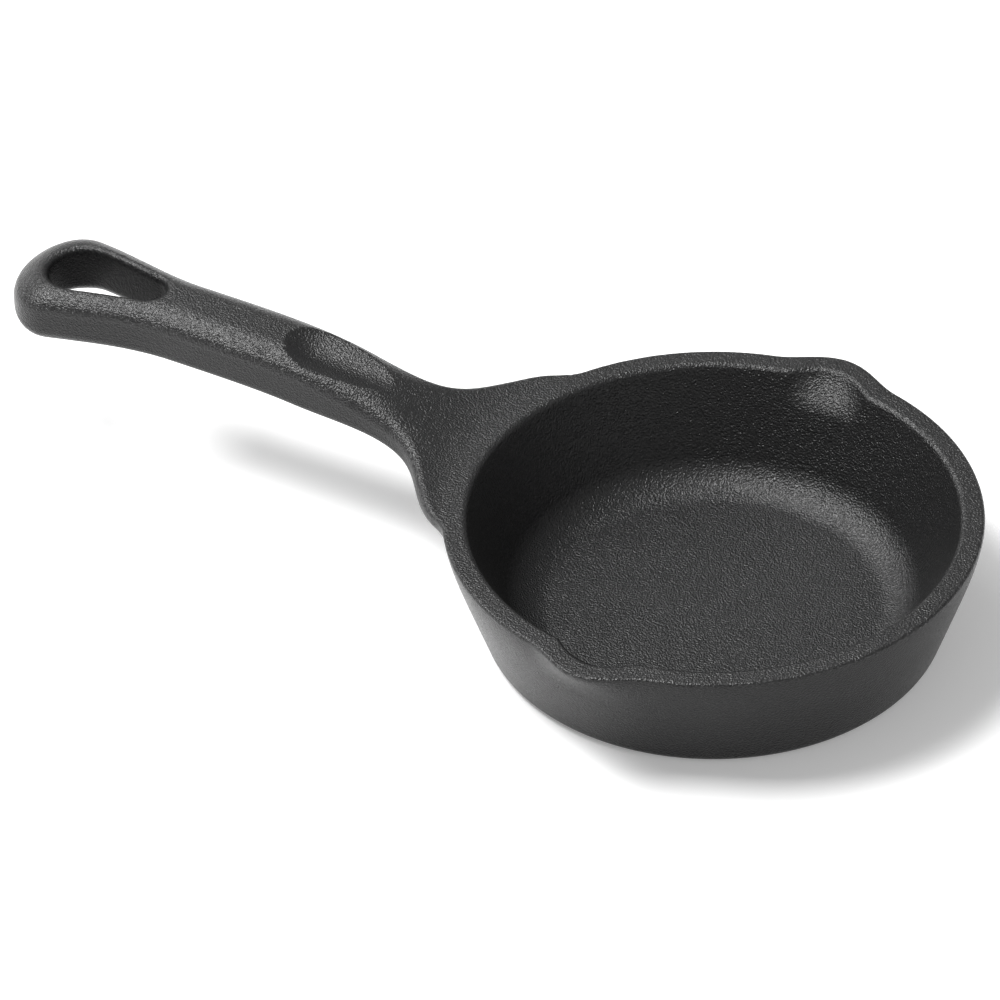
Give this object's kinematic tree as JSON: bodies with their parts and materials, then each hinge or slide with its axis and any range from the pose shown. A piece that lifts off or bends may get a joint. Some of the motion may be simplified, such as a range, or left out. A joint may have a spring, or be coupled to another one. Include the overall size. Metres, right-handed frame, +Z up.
{
  "type": "cast iron skillet",
  "caption": "Small round cast iron skillet with a flat base, sloping walls, opposed pour spouts and a rising handle with a thumb rest and a teardrop hanging hole.",
  "frame": {"origin": "centre of the flat resting face, on the pan's axis", "axes": "+Z up along the pan's axis, the handle along -X, a pour spout to each side at +Y and -Y"},
  "size_m": [0.249, 0.1354, 0.0445],
  "materials": {
    "seasoned_iron": "seasoned black, fine pebbled sand-cast grain with a soft oiled sheen"
  },
  "bodies": {
    "root": {"pan_floor": "seasoned_iron", "pan_wall": "seasoned_iron", "rim": "seasoned_iron", "pour_spout_left": "seasoned_iron", "pour_spout_right": "seasoned_iron", "handle_root": "seasoned_iron", "handle_grip": "seasoned_iron", "hanging_loop": "seasoned_iron"}
  },
  "joints": []
}
